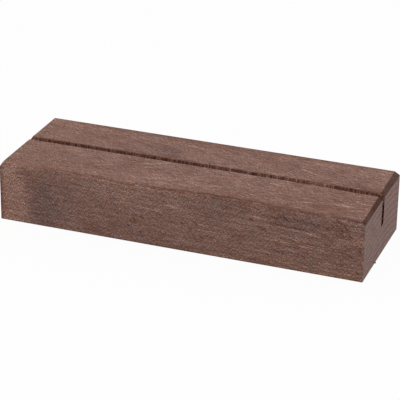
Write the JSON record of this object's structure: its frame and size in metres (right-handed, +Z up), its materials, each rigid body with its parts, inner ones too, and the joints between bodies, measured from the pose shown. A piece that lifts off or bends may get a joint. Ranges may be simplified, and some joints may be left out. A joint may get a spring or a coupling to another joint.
{
  "type": "photo block holder",
  "caption": "Low rectangular wooden block with a saw slot along its whole top, in which a photo, print or card stands upright.",
  "frame": {"origin": "middle of the face that the block stands on", "axes": "+X along the block and its slot towards the end with the tapered bevel, +Y from the front to the back, +Z up out of the slot"},
  "size_m": [0.1524, 0.0508, 0.0254],
  "materials": {
    "stained_wood": "walnut-brown stain on close-grained hardwood, sanded and unvarnished, matt"
  },
  "bodies": {
    "root": {"slotted_block": "stained_wood"}
  },
  "joints": []
}
